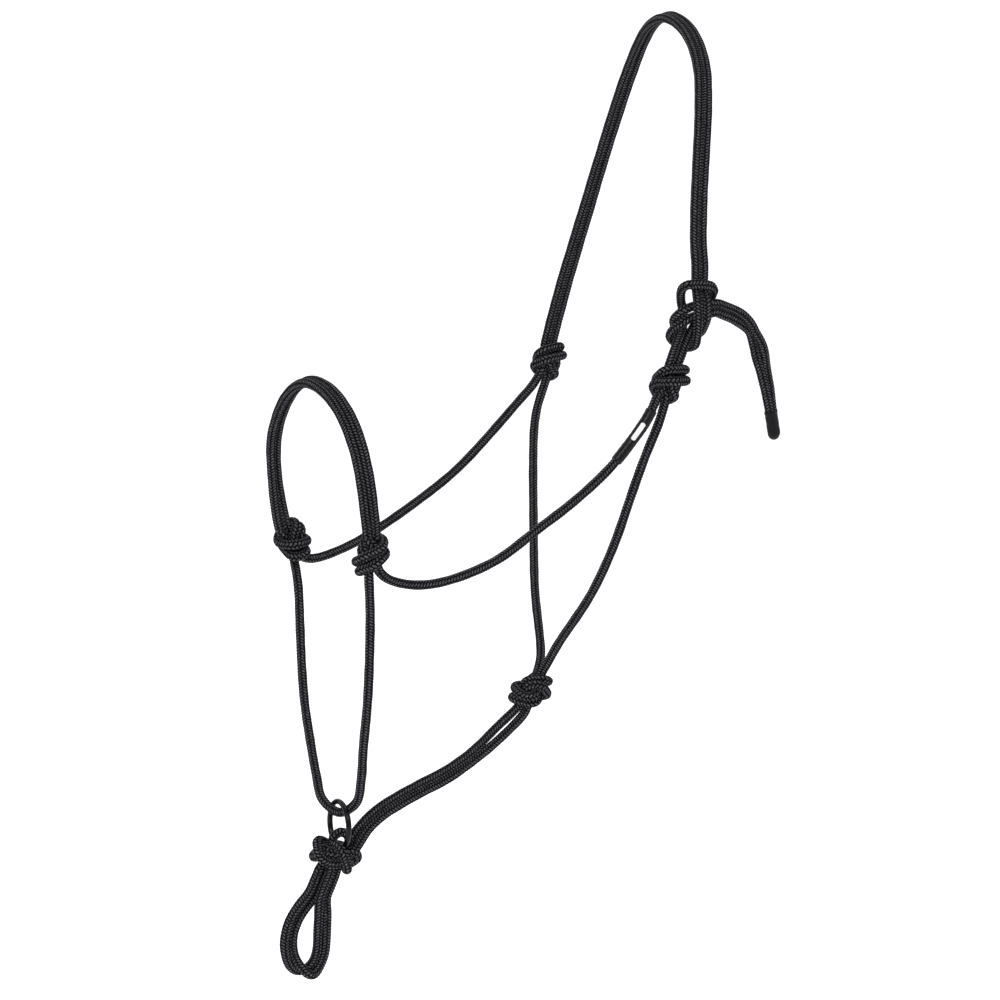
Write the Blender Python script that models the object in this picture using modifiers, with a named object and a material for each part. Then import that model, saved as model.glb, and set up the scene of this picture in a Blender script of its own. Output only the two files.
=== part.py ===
"""Rope halter: a tied headcollar of one braided rope, with a chin ring, a label sleeve and an end cap.

Metres, +Z up. The horse faces -X, its left (near) side is -Y and its right (far) side is +Y.
The origin is where the underside of the crown rests on the horse's poll.
"""

import math

import bpy
import numpy as np
from mathutils import Matrix, Vector

# Driving dimensions, in metres
ROPE_D = 0.0063  # quarter-inch braided rope
GAP = 0.0003  # clearance between touching pieces
PAIR_PITCH = ROPE_D + 0.0005  # centre to centre of two strands that lie side by side
TAIL_FLEX = 0.0024  # clear length of rope that bends where the tail swings
LOOP_FLEX = 0.0036  # and where the lead loop swings
STRAND_STEP = 2.6 * ROPE_D  # spacing of a strand's points
PAIR_STEP = 1.5 * ROPE_D  # where a pair twists
TURN_STEP = ROPE_D  # where a strand turns tightly
BIGHT_STEP = 0.6 * ROPE_D  # where it turns tightest
NEAR_ENDS = (0.7 * ROPE_D, 1.7 * ROPE_D)  # closer points where a strand bends away from its knot
SPAN_SAMPLES = 24  # samples of a smooth curve between two points of its route
KNOT_LEAD = 0.004  # a strand runs this far straight out of a knot
KNOT_TURNS = 3  # turns of rope stacked in a knot's body
TURN_BULGE = math.radians(65)  # how far round its section each turn shows
ROUND_SIDES = 16

RING_R = 0.016  # centre line of the ring's wire: 36 mm outside
RING_WIRE_R = 0.002
RING_CENTRE = (-0.2562, 0.0, -0.5540)

SLEEVE_FROM = 0.011  # distances along the cheek strand from the cheek knot
SLEEVE_TO = 0.054
SLEEVE_WALL = 0.0005

CAP_LENGTH = 0.018
CAP_WIDTH = 0.0126
CAP_DEPTH = 0.0074

# Each knot: centre, the way its axis points, radius and half height of its body
KNOTS = {
    "nose_knot_near": ((-0.2605, -0.0650, -0.3600), (0.00, 0.0, 1.00), 0.0135, 0.0105),
    "nose_knot_far": ((-0.2660, 0.0650, -0.3650), (-0.28, 0.0, 0.96), 0.0135, 0.0105),
    "cheek_knot_near": ((-0.0530, -0.0950, -0.2500), (0.38, 0.0, 0.92), 0.0135, 0.0105),
    "cheek_knot_far": ((-0.0460, 0.0950, -0.2440), (0.20, 0.0, 0.98), 0.0135, 0.0105),
    "throat_knot": ((-0.1080, 0.0, -0.4720), (0.50, 0.0, 0.87), 0.0140, 0.0110),
    "fiador_knot": ((-0.2650, 0.0, -0.5840), (0.42, 0.0, 0.91), 0.0175, 0.0125),
}

# Routes of the rope between the knots, one list of centre points for each stretch
NOSEBAND = [
    (-0.2750, 0.0645, -0.3220),
    (-0.2780, 0.0590, -0.2920),
    (-0.2775, 0.0450, -0.2690),
    (-0.2765, 0.0240, -0.2540),
    (-0.2755, 0.0000, -0.2490),
    (-0.2725, -0.0240, -0.2550),
    (-0.2700, -0.0450, -0.2690),
    (-0.2670, -0.0580, -0.2890),
    (-0.2640, -0.0635, -0.3120),
    (-0.2615, -0.0650, -0.3360),
]
NOSEBAND_ACROSS = [
    (0.88, 0.47, 0.00),
    (0.88, 0.47, 0.00),
    (0.89, 0.42, 0.10),
    (0.92, 0.25, 0.24),
    (0.95, 0.00, 0.30),
    (0.92, -0.25, 0.24),
    (0.90, -0.42, 0.10),
    (0.88, -0.47, 0.00),
    (0.90, -0.43, 0.00),
    (0.96, -0.28, 0.00),
]
CHIN = [
    (-0.2600, 0.0605, -0.3950),
    (-0.2602, 0.0570, -0.4250),
    (-0.2608, 0.0530, -0.4520),
    (-0.2615, 0.0465, -0.4770),
    (-0.2618, 0.0370, -0.5000),
    (-0.2628, 0.0240, -0.5230),
    (-0.2635, 0.0120, -0.5378),
    (-0.2562, 0.0000, -0.5455),
    (-0.2489, -0.0120, -0.5375),
    (-0.2503, -0.0240, -0.5190),
    (-0.2545, -0.0370, -0.4950),
    (-0.2560, -0.0470, -0.4650),
    (-0.2570, -0.0530, -0.4350),
    (-0.2585, -0.0580, -0.4000),
]
CHEEK_NEAR = [
    (-0.2450, -0.0620, -0.3790),
    (-0.2340, -0.0620, -0.3825),
    (-0.2210, -0.0650, -0.3832),
    (-0.2040, -0.0690, -0.3800),
    (-0.1880, -0.0725, -0.3745),
    (-0.1700, -0.0755, -0.3665),
    (-0.1465, -0.0800, -0.3490),
    (-0.1250, -0.0840, -0.3340),
    (-0.1050, -0.0880, -0.3175),
    (-0.0910, -0.0900, -0.3045),
    (-0.0780, -0.0920, -0.2885),
    (-0.0670, -0.0940, -0.2740),
]
CHEEK_FAR = [
    (-0.2470, 0.0620, -0.3775),
    (-0.2340, 0.0625, -0.3742),
    (-0.2130, 0.0660, -0.3675),
    (-0.1945, 0.0690, -0.3590),
    (-0.1640, 0.0740, -0.3430),
    (-0.1270, 0.0800, -0.3205),
    (-0.0890, 0.0870, -0.2890),
    (-0.0650, 0.0915, -0.2675),
]
THROAT_NEAR = [
    (-0.0570, -0.0950, -0.2730),
    (-0.0665, -0.0930, -0.2950),
    (-0.0740, -0.0860, -0.3230),
    (-0.0800, -0.0700, -0.3630),
    (-0.0865, -0.0500, -0.3985),
    (-0.0915, -0.0375, -0.4160),
    (-0.0970, -0.0200, -0.4370),
    (-0.0990, -0.0080, -0.4525),
]
THROAT_FAR = [
    (-0.0515, 0.0940, -0.2710),
    (-0.0565, 0.0920, -0.2860),
    (-0.0615, 0.0850, -0.3170),
    (-0.0690, 0.0700, -0.3570),
    (-0.0750, 0.0580, -0.3800),
    (-0.0835, 0.0400, -0.4080),
    (-0.0895, 0.0220, -0.4330),
    (-0.0945, 0.0090, -0.4520),
]
FIADOR = [
    (-0.1320, 0.0000, -0.4990),
    (-0.1533, 0.0000, -0.5148),
    (-0.1741, 0.0000, -0.5264),
    (-0.1948, 0.0000, -0.5345),
    (-0.2110, 0.0000, -0.5412),
    (-0.2270, 0.0000, -0.5495),
    (-0.2385, 0.0000, -0.5590),
    (-0.2450, 0.0000, -0.5680),
]
FIADOR_ACROSS = [
    (-0.64, 0.00, 0.77),
    (-0.60, 0.00, 0.80),
    (-0.45, -0.30, 0.80),
    (-0.20, -0.98, 0.30),
    (0.20, -0.75, -0.60),
    (0.45, -0.30, -0.85),
    (0.30, -0.85, -0.40),
    (0.00, -1.00, 0.00),
]
FIADOR_SPREAD = 1.7  # the strands part round the ring's bight where they enter the fiador knot
FIADOR_ENTRY = 0.0112
CROWN = [
    (-0.0405, 0.0950, -0.2210),
    (-0.0340, 0.0930, -0.1915),
    (-0.0255, 0.0920, -0.1620),
    (-0.0165, 0.0900, -0.1325),
    (-0.0085, 0.0860, -0.1035),
    (-0.0010, 0.0790, -0.0770),
    (0.0015, 0.0710, -0.0555),
    (0.0030, 0.0590, -0.0320),
    (0.0020, 0.0420, -0.0125),
    (0.0010, 0.0220, -0.0010),
    (0.0000, 0.0000, ROPE_D / 2),
    (0.0005, -0.0220, -0.0035),
    (-0.0010, -0.0420, -0.0180),
    (-0.0055, -0.0590, -0.0370),
    (-0.0115, -0.0710, -0.0580),
    (-0.0175, -0.0800, -0.0815),
    (-0.0225, -0.0860, -0.1065),
    (-0.0260, -0.0900, -0.1335),
    (-0.0270, -0.0915, -0.1560),
]
CROWN_ACROSS = [
    (0.98, 0.00, -0.20),
    (0.96, 0.00, -0.25),
    (0.96, 0.10, -0.27),
    (0.97, 0.15, -0.20),
    (0.97, 0.20, -0.10),
    (0.98, 0.15, 0.00),
    (0.98, 0.10, 0.00),
    (0.98, 0.05, 0.10),
    (0.96, 0.05, 0.20),
    (0.95, 0.00, 0.28),
    (0.95, 0.00, 0.30),
    (0.95, 0.00, 0.28),
    (0.98, -0.05, 0.20),
    (0.98, -0.08, 0.15),
    (0.98, -0.10, 0.10),
    (0.99, -0.05, 0.05),
    (1.00, 0.00, 0.00),
    (1.00, 0.00, 0.00),
    (1.00, 0.00, 0.00),
]
# The sheet bend: each crown strand comes down behind the eye's bar and out through the eye,
# down over the eye's legs, round behind them, and back across under itself to the tail
TIE_TOP = (-0.0270, -0.0934, -0.1730)
TURN_FRONT = [
    (-0.0303, -0.0934, -0.1762),
    (-0.0315, -0.0978, -0.1830),
    (-0.0340, -0.1036, -0.1928),
    (-0.0358, -0.1055, -0.2025),
    (-0.0350, -0.1060, -0.2120),
    (-0.0315, -0.1025, -0.2210),
    (-0.0275, -0.0930, -0.2280),
    (-0.0315, -0.0838, -0.2300),
    (-0.0395, -0.0832, -0.2285),
    (-0.0475, -0.0860, -0.2240),
    (-0.0515, -0.0915, -0.2170),
    (-0.0510, -0.0962, -0.2105),
    (-0.0478, -0.0980, -0.2070),
    (-0.0420, -0.0980, -0.2046),
    (-0.0350, -0.0980, -0.2040),
]
TURN_REAR = [
    (-0.0237, -0.0934, -0.1762),
    (-0.0243, -0.0972, -0.1830),
    (-0.0270, -0.1030, -0.1932),
    (-0.0288, -0.1055, -0.2025),
    (-0.0272, -0.1045, -0.2105),
    (-0.0225, -0.0985, -0.2160),
    (-0.0215, -0.0890, -0.2192),
    (-0.0275, -0.0835, -0.2210),
    (-0.0360, -0.0828, -0.2200),
    (-0.0440, -0.0845, -0.2150),
    (-0.0495, -0.0895, -0.2075),
    (-0.0506, -0.0948, -0.2005),
    (-0.0470, -0.0980, -0.1977),
    (-0.0420, -0.0980, -0.1966),
    (-0.0350, -0.0980, -0.1966),
]
EYE = [
    (-0.0425, -0.0912, -0.2215),
    (-0.0385, -0.0908, -0.2120),
    (-0.0385, -0.0906, -0.2020),
    (-0.0405, -0.0914, -0.1945),
    (-0.0428, -0.0975, -0.1865),
    (-0.0385, -0.1040, -0.1830),
    (-0.0310, -0.1060, -0.1821),
    (-0.0240, -0.1054, -0.1828),
    (-0.0170, -0.1005, -0.1862),
    (-0.0146, -0.0926, -0.1914),
    (-0.0188, -0.0904, -0.1990),
    (-0.0265, -0.0906, -0.2080),
    (-0.0330, -0.0908, -0.2180),
]
TAIL_EXIT = (-0.0205, -0.0980, -0.2003)  # where the tail leaves the bend and swings
TAIL = [
    (-0.0110, -0.0975, -0.2016),
    (0.0000, -0.0965, -0.2055),
    (0.0090, -0.0955, -0.2110),
    (0.0150, -0.0950, -0.2175),
    (0.0195, -0.0950, -0.2270),
    (0.0235, -0.0950, -0.2420),
    (0.0270, -0.0950, -0.2550),
    (0.0295, -0.0950, -0.2670),
]
TAIL_CAP_TOP = (0.0306, -0.0950, -0.2745)
TAIL_CAP_END = (0.0335, -0.0950, -0.2905)
TAIL_ACROSS = [
    (0.10, 0.00, 1.00),
    (0.25, -0.25, 0.90),
    (0.30, -0.80, 0.50),
    (0.10, -0.99, 0.05),
    (0.60, -0.75, 0.35),
    (0.90, 0.20, 0.35),
    (0.90, 0.40, 0.25),
    (0.80, 0.60, 0.20),
    (0.74, 0.67, 0.13),
]
# The bight through the ring leaves the fiador knot at these distances across its top
BIGHT_FEET = (-0.0046, 0.0076)
BIGHT = [
    (-0.2604, 0.0, -0.5622),
    (-0.2556, 0.0, -0.5594),
    (-0.2508, 0.0, -0.5613),
    (-0.2490, 0.0, -0.5660),
]
# The lead loop's two strands: each leaves the knot's underside, turns back at the bottom and
# crosses the other there, with its two ends this far across the knot and along Y
LEAD_FRONT_FEET = ((-0.0062, 0.0), (0.0005, -0.0034))
LEAD_FRONT = [
    (-0.2850, 0.0000, -0.6050),
    (-0.2942, 0.0000, -0.6175),
    (-0.2978, 0.0000, -0.6330),
    (-0.2945, 0.0010, -0.6475),
    (-0.2865, 0.0036, -0.6548),
    (-0.2785, 0.0025, -0.6520),
    (-0.2728, 0.0000, -0.6430),
    (-0.2712, -0.0008, -0.6290),
    (-0.2716, -0.0025, -0.6130),
]
LEAD_REAR_FEET = ((0.0005, 0.0034), (0.0072, 0.0))
LEAD_REAR = [
    (-0.2785, 0.0040, -0.6095),
    (-0.2865, 0.0015, -0.6190),
    (-0.2907, 0.0000, -0.6325),
    (-0.2888, -0.0010, -0.6445),
    (-0.2835, -0.0036, -0.6535),
    (-0.2765, -0.0036, -0.6580),
    (-0.2695, -0.0010, -0.6530),
    (-0.2650, 0.0000, -0.6420),
    (-0.2640, 0.0000, -0.6270),
    (-0.2643, 0.0000, -0.6120),
]


def clear_scene():
    for obj in list(bpy.data.objects):
        bpy.data.objects.remove(obj, do_unlink=True)


def new_collection(name):
    group = bpy.data.collections.new(name)
    bpy.context.scene.collection.children.link(group)
    return group


def new_material(name, color, roughness, metallic=0.0):
    made = bpy.data.materials.new(name)
    made.use_nodes = True
    shader = made.node_tree.nodes["Principled BSDF"]
    shader.inputs["Base Color"].default_value = (*color, 1.0)
    shader.inputs["Roughness"].default_value = roughness
    shader.inputs["Metallic"].default_value = metallic
    return made


def smooth(route, step):
    """Points a step apart on the smooth curve through a route; its columns past XYZ follow along.

    The first two and last two points are the route's own, so the rope leaves its knot straight,
    and the points beside them are closer together.
    """
    route = np.array(route, float)
    chords = np.linalg.norm(np.diff(route[:, :3], axis=0), axis=1)
    knots = np.concatenate([[0.0], np.cumsum(chords**0.5)])
    slopes = np.gradient(route, knots, axis=0, edge_order=2)
    fine = []
    for i in range(len(route) - 1):
        span = knots[i + 1] - knots[i]
        t = np.linspace(0.0, 1.0, SPAN_SAMPLES, endpoint=False)[:, None]
        fine.append(
            (2 * t**3 - 3 * t**2 + 1) * route[i]
            + (t**3 - 2 * t**2 + t) * span * slopes[i]
            + (3 * t**2 - 2 * t**3) * route[i + 1]
            + (t**3 - t**2) * span * slopes[i + 1]
        )
    fine = np.vstack([*fine, route[-1:]])
    run = np.concatenate([[0.0], np.cumsum(np.linalg.norm(np.diff(fine[:, :3], axis=0), axis=1))])
    near = [place for place in NEAR_ENDS if place < step]
    from_first = run[SPAN_SAMPLES] + np.array([0.0, *near])
    from_last = run[-1 - SPAN_SAMPLES] - np.array([0.0, *near])
    count = max(2, round((from_last[-1] - from_first[-1]) / step)) + 1
    inner = np.linspace(from_first[-1], from_last[-1], count)
    places = np.concatenate([[0.0], from_first[:-1], inner, from_last[-2::-1], [run[-1]]])
    return np.column_stack([np.interp(places, run, column) for column in fine.T])


def pair_of(route, across, step, spread=None):
    """The two strands that run side by side along a route, the first on the side of across."""
    spread = np.ones(len(route)) if spread is None else np.array(spread, float)
    both = smooth(np.column_stack([np.array(route, float), np.array(across, float), spread]), step)
    centre = both[:, :3]
    side = both[:, 3:6]
    half = both[:, 6:] * PAIR_PITCH / 2
    along = np.gradient(centre, axis=0)
    along /= np.linalg.norm(along, axis=1)[:, None]
    side -= along * np.sum(side * along, axis=1)[:, None]
    side *= half / np.linalg.norm(side, axis=1)[:, None]
    return centre + side, centre - side


def knot_fore(name):
    """The direction across a knot's axis in the fore-aft plane."""
    up = Vector(KNOTS[name][1]).normalized()
    return (up.z, 0.0, -up.x)


def knot_end(name, end, offset=(0.0, 0.0), gap=GAP):
    """Two points in line with a knot: just off its flat end, 1 above or -1 below, and further out.

    The offset is across the knot's axis: first in the fore-aft plane, then along Y.
    """
    centre, up, _, half = KNOTS[name]
    up = Vector(up).normalized()
    base = Vector(centre) + Vector(knot_fore(name)) * offset[0] + Vector((0.0, offset[1], 0.0))
    near = base + up * (end * (half + gap))
    far = base + up * (end * (half + gap + KNOT_LEAD))
    return [tuple(near), tuple(far)]


def add_rope(name, points, material, group, radius=ROPE_D / 2, resolution=2):
    curve = bpy.data.curves.new(name, "CURVE")
    curve.dimensions = "3D"
    curve.bevel_depth = radius
    curve.bevel_resolution = resolution
    curve.use_fill_caps = True
    spline = curve.splines.new("POLY")
    spline.points.add(len(points) - 1)
    for point, place in zip(spline.points, points):
        point.co = (*place, 1.0)
    curve.materials.append(material)
    obj = bpy.data.objects.new(name, curve)
    group.objects.link(obj)
    return obj


def add_turned(name, profile, steps, material, group):
    """A solid of revolution about Z from a profile that runs down its outer side."""
    mesh = bpy.data.meshes.new(name)
    points = [(x, 0.0, z) for x, z in profile]
    mesh.from_pydata(points, [(i, i + 1) for i in range(len(points) - 1)], [])
    mesh.materials.append(material)
    obj = bpy.data.objects.new(name, mesh)
    screw = obj.modifiers.new("turn", "SCREW")
    screw.axis = "Z"
    screw.steps = steps
    screw.render_steps = steps
    screw.use_merge_vertices = True
    screw.merge_threshold = 0.00001
    group.objects.link(obj)
    return obj


def add_knot(name, material, group):
    """A knot's body: three turns of rope stacked between two flat ends."""
    centre, up, radius, half = KNOTS[name]
    turn_height = 2 * half / KNOT_TURNS
    bulge = ROPE_D / 2
    profile = [(0.0, half)]
    for turn in range(KNOT_TURNS):
        middle = half - turn_height * (turn + 0.5)
        for share in (1.0, 0.5, 0.0, -0.5, -1.0):
            angle = share * TURN_BULGE
            reach = radius - bulge + bulge * math.cos(angle)
            profile.append((reach, middle + turn_height / 2 * math.sin(angle)))
    profile.append((0.0, -half))
    profile[1] = (profile[1][0], half)
    profile[-2] = (profile[-2][0], -half)
    obj = add_turned(name, profile, ROUND_SIDES, material, group)
    obj.location = centre
    obj.rotation_euler = Vector(up).to_track_quat("Z", "Y").to_euler()
    return obj


def add_ring(material, group, parent):
    bpy.ops.mesh.primitive_torus_add(
        major_radius=RING_R, minor_radius=RING_WIRE_R, major_segments=36, minor_segments=8
    )
    ring = bpy.context.object
    ring.name = "chin_ring"
    ring.data.materials.append(material)
    for old in list(ring.users_collection):
        old.objects.unlink(ring)
    group.objects.link(ring)
    ring.rotation_euler = (0.0, math.pi / 2, 0.0)
    ring.parent = parent
    return ring


def add_sleeve(strand_points, material, group):
    """A thin open tube round the stretch of the cheek strand next to the cheek knot."""
    run = np.concatenate([[0.0], np.cumsum(np.linalg.norm(np.diff(strand_points, axis=0), axis=1))])
    from_knot = run[-1] - run
    inside = (from_knot > SLEEVE_FROM) & (from_knot < SLEEVE_TO)
    middle = strand_points[inside]
    ends = [
        [np.interp(-place, -from_knot, column) for column in strand_points.T]
        for place in (SLEEVE_TO, SLEEVE_FROM)
    ]
    path = np.vstack([ends[0], middle, ends[1]])
    guide = add_rope("sleeve_guide", path, material, group, ROPE_D / 2 + GAP, 4)
    guide.data.use_fill_caps = False
    graph = bpy.context.evaluated_depsgraph_get()
    mesh = bpy.data.meshes.new_from_object(guide.evaluated_get(graph))
    mesh.name = "label_sleeve"
    bpy.data.objects.remove(guide, do_unlink=True)
    sleeve = bpy.data.objects.new("label_sleeve", mesh)
    wall = sleeve.modifiers.new("wall", "SOLIDIFY")
    wall.thickness = SLEEVE_WALL
    wall.offset = 1.0
    group.objects.link(sleeve)
    return sleeve


def add_tail_cap(material, group, parent):
    """A rounded shrunk cap over the two tail ends, oval in section."""
    half = CAP_WIDTH / 2
    profile = [(0.0, 0.0), (half * 0.93, 0.0), (half, -0.0012), (half, -CAP_LENGTH + half * 0.8)]
    for share in (0.33, 0.66):
        angle = share * math.pi / 2
        profile.append((half * math.cos(angle), -CAP_LENGTH + half * 0.8 * (1 - math.sin(angle))))
    profile.append((0.0, -CAP_LENGTH))
    cap = add_turned("tail_cap", profile, ROUND_SIDES, material, group)
    down = Vector(TAIL_CAP_END) - Vector(TAIL_CAP_TOP)
    side = Vector(TAIL_ACROSS[-1])
    up = -down.normalized()
    side = (side - up * side.dot(up)).normalized()
    front = up.cross(side)
    turn = Matrix((side, front, up)).transposed()
    cap.scale = (1.0, CAP_DEPTH / CAP_WIDTH, 1.0)
    cap.rotation_euler = turn.to_euler()
    cap.location = Vector(TAIL_CAP_TOP) - Vector(TAIL_EXIT) - up * (GAP + 0.0001)
    cap.parent = parent
    return cap


def add_empty(name, place, group):
    empty = bpy.data.objects.new(name, None)
    empty.empty_display_size = 0.01
    empty.location = place
    group.objects.link(empty)
    return empty


def hang(obj, parent):
    """Parents an object made in world coordinates to an empty that is only moved."""
    obj.parent = parent
    obj.location = obj.location - parent.location


def build():
    clear_scene()
    group = new_collection("rope_halter")
    rope = new_material("braided_rope", (0.022, 0.023, 0.027), 0.72)
    ring_finish = new_material("ring_black", (0.012, 0.012, 0.014), 0.25, 0.6)
    sleeve_finish = new_material("shrink_sleeve", (0.015, 0.015, 0.017), 0.35)
    cap_finish = new_material("shrink_cap", (0.025, 0.025, 0.028), 0.6)

    for name in KNOTS:
        add_knot(name, rope, group)

    # Noseband: two strands side by side over the nose
    top_far = knot_end("nose_knot_far", 1)
    top_near = knot_end("nose_knot_near", 1)
    route = top_far + NOSEBAND + top_near[::-1]
    across = [knot_fore("nose_knot_far")] * 2 + NOSEBAND_ACROSS + [knot_fore("nose_knot_near")] * 2
    rear, front = pair_of(route, across, STRAND_STEP)
    add_rope("noseband_strand_rear", rear, rope, group)
    add_rope("noseband_strand_front", front, rope, group)

    # Chin strand: down from each nose knot and through the ring
    start = knot_end("nose_knot_far", -1, (-0.0020, 0.0))
    end = knot_end("nose_knot_near", -1, (-0.0020, 0.0))
    add_rope("chin_strand", smooth(start + CHIN + end[::-1], TURN_STEP), rope, group)

    # Cheek strands: one on each side, from the nose knot back and up to the cheek knot
    for side, route in (("near", CHEEK_NEAR), ("far", CHEEK_FAR)):
        start = knot_end(f"nose_knot_{side}", -1, (0.0048, 0.0))
        end = knot_end(f"cheek_knot_{side}", -1, (-0.0034, 0.0))
        points = smooth(start + route + end[::-1], STRAND_STEP)
        add_rope(f"cheek_strand_{side}", points, rope, group)
        if side == "near":
            add_sleeve(points, sleeve_finish, group)

    # Throat strands: one on each side, from the cheek knot down to the throat knot
    for side, route, lean in (("near", THROAT_NEAR, -1), ("far", THROAT_FAR, 1)):
        start = knot_end(f"cheek_knot_{side}", -1, (0.0034, 0.0))
        end = knot_end("throat_knot", 1, (0.0, lean * PAIR_PITCH / 2))
        points = smooth(start + route + end[::-1], STRAND_STEP)
        add_rope(f"throat_strand_{side}", points, rope, group)

    # Fiador strands: a pair from the throat knot forward and down to the fiador knot
    start = knot_end("throat_knot", -1)
    fore = knot_fore("throat_knot")
    back = tuple(-value for value in fore)
    end = knot_end("fiador_knot", 1, (FIADOR_ENTRY, 0.0))
    across = [back, back] + FIADOR_ACROSS + [(0.0, -1.0, 0.0)] * 2
    spread = [1.0] * len(FIADOR) + [1.35] + [FIADOR_SPREAD] * 3
    upper, lower = pair_of(start + FIADOR + end[::-1], across, PAIR_STEP, spread)
    add_rope("fiador_strand_upper", upper, rope, group)
    add_rope("fiador_strand_lower", lower, rope, group)

    # The bight of rope that holds the ring's lower side
    left, right = (knot_end("fiador_knot", 1, (foot, 0.0)) for foot in BIGHT_FEET)
    add_rope("ring_bight", smooth(left + BIGHT + right[::-1], BIGHT_STEP), rope, group)

    ring_axis = add_empty("ring_spin_axis", RING_CENTRE, group)
    add_ring(ring_finish, group, ring_axis)

    # Crown: two strands side by side from the far cheek knot over the poll to the sheet bend
    above = (TIE_TOP[0], TIE_TOP[1], TIE_TOP[2] + KNOT_LEAD)
    end = (TIE_TOP[0], TIE_TOP[1], TIE_TOP[2] + GAP)
    route = knot_end("cheek_knot_far", 1) + CROWN[1:] + [above, end]
    across = [knot_fore("cheek_knot_far")] * 2 + CROWN_ACROSS[1:] + [(1.0, 0.0, 0.0)] * 2
    rear, front = pair_of(route, across, STRAND_STEP)
    add_rope("crown_strand_rear", rear, rope, group)
    add_rope("crown_strand_front", front, rope, group)

    # Sheet bend: the eye from the near cheek knot, and the crown strands' turns through it
    left = knot_end("cheek_knot_near", 1, (-PAIR_PITCH / 2, 0.0))
    right = knot_end("cheek_knot_near", 1, (PAIR_PITCH / 2, 0.0))
    add_rope("eye_loop", smooth(left + EYE + right[::-1], TURN_STEP), rope, group)
    exit_x = TAIL_EXIT[0] - TAIL_FLEX / 2
    for name, route, side in (("front", TURN_FRONT, -1), ("rear", TURN_REAR, 1)):
        first = (TIE_TOP[0] + side * PAIR_PITCH / 2, TIE_TOP[1], TIE_TOP[2])
        last = (exit_x, TAIL_EXIT[1], route[-1][2])
        add_rope(f"tie_turn_{name}", smooth([first] + route + [last], TURN_STEP), rope, group)

    # Tails: the crown strands' two ends, which hang from the bend in one cap
    tail_axis = add_empty("tail_swing_axis", TAIL_EXIT, group)
    start = (TAIL_EXIT[0] + TAIL_FLEX / 2, TAIL_EXIT[1], TAIL_EXIT[2])
    lead = (start[0] + KNOT_LEAD, start[1], start[2])
    route = [start, lead] + TAIL + [TAIL_CAP_TOP]
    across = [(0.0, 0.0, 1.0)] * 2 + TAIL_ACROSS
    rear, front = pair_of(route, across, PAIR_STEP)
    hang(add_rope("tail_strand_rear", rear, rope, group), tail_axis)
    hang(add_rope("tail_strand_front", front, rope, group), tail_axis)
    add_tail_cap(cap_finish, group, tail_axis)

    # Lead loop: two strands, hanging a little way under the fiador knot
    centre, up, _, half = KNOTS["fiador_knot"]
    down = -Vector(up).normalized()
    pivot = Vector(centre) + down * (half + LOOP_FLEX / 2)
    loop_axis = add_empty("lead_loop_swing_axis", pivot, group)
    for name, feet, route in (
        ("front", LEAD_FRONT_FEET, LEAD_FRONT),
        ("rear", LEAD_REAR_FEET, LEAD_REAR),
    ):
        start, end = (knot_end("fiador_knot", -1, foot, LOOP_FLEX) for foot in feet)
        points = smooth(start + route + end[::-1], TURN_STEP)
        hang(add_rope(f"lead_loop_strand_{name}", points, rope, group), loop_axis)


build()
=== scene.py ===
"""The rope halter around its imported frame: braided rope, tied knots, chin ring, label sleeve and tail cap.

Metres, in the frame of the CAD model: the horse faces -X, and its left (near) side is -Y.
"""

import math

import bpy
import numpy as np
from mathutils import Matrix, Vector


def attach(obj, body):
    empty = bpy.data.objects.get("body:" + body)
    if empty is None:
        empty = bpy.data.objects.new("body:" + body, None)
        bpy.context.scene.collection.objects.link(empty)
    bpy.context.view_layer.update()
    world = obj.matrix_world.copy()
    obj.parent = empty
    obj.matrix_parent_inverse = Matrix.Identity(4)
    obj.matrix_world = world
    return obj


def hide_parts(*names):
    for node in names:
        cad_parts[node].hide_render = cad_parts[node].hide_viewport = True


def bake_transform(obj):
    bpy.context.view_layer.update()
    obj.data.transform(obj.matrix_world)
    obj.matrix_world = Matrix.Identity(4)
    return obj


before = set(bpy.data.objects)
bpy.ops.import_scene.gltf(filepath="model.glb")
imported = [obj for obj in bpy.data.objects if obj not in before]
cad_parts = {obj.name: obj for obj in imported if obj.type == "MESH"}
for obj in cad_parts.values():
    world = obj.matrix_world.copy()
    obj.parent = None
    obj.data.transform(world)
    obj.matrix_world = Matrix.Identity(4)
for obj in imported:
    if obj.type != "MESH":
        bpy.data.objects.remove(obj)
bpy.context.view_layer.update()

# Rope and layout, the same as in the CAD model
ROPE_D = 0.0063
GAP = 0.0003  # between a knot's flat end and the strand that leaves it
PAIR_PITCH = ROPE_D - 0.0001  # between the middles of two strands side by side
LOOP_FLEX = 0.0036  # between the fiador knot and the lead loop, where the loop leaves the knot
TAIL_FLEX = 0.0024  # between the tie's turns and the tail, where the tail leaves the tie
KNOT_LEAD = 0.004  # straight stretch of a strand where it leaves a knot
RING_R = 0.016  # to the middle of the wire
RING_WIRE_R = 0.002
RING_CENTRE = (-0.2562, 0.0, -0.554)
SLEEVE_FROM = 0.011  # along the near cheek strand from its cheek knot
SLEEVE_TO = 0.054
SLEEVE_WALL = 0.0005
CAP_LENGTH = 0.018

# Each knot: centre, the way its axis points, and half height of its body
KNOTS = {
    "nose_knot_near": ((-0.2605, -0.065, -0.36), (0.0, 0.0, 1.0), 0.0105),
    "nose_knot_far": ((-0.266, 0.065, -0.365), (-0.28, 0.0, 0.96), 0.0105),
    "cheek_knot_near": ((-0.053, -0.095, -0.25), (0.38, 0.0, 0.92), 0.0105),
    "cheek_knot_far": ((-0.046, 0.095, -0.244), (0.2, 0.0, 0.98), 0.0105),
    "throat_knot": ((-0.108, 0.0, -0.472), (0.5, 0.0, 0.87), 0.011),
    "fiador_knot": ((-0.265, 0.0, -0.584), (0.42, 0.0, 0.91), 0.0125),
}

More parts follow.
